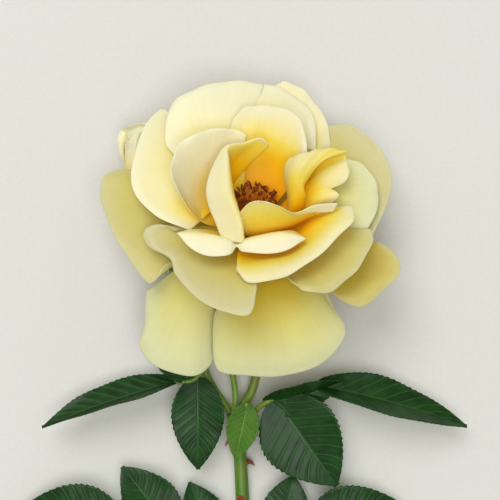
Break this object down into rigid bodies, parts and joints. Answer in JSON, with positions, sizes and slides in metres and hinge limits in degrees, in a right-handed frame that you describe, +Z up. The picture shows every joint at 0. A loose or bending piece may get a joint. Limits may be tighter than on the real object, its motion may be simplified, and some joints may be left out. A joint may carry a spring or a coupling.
{
  "type": "cut rose stem",
  "caption": "Cut rose stem with an open pale-yellow bloom, buds behind it, a thorned stem and toothed leaves, lying flat",
  "frame": {"origin": "centre of the bounding box in plan, on the surface that the part lies on", "axes": "+Y runs from the stem's cut end to the bloom, +Z is up from the surface, +X is to the right seen from above"},
  "size_m": [0.1373, 0.1594, 0.0556],
  "materials": {
    "petal": "soft satin",
    "calyx": "satin",
    "stem": "smooth green bark",
    "leaf": "glossy upper side"
  },
  "bodies": {
    "root": {"bloom": "petal", "calyx": "calyx", "main_stem": "stem", "bloom_stalk": "stem", "bud": "petal", "bud_calyx": "calyx", "bud_stalk": "stem", "small_bud": "calyx", "small_bud_stalk": "stem", "leaf_left": "leaf", "leaf_right": "leaf", "bract": "leaf", "leaf_low_left": "leaf", "leaf_low_right": "leaf"}
  },
  "joints": []
}
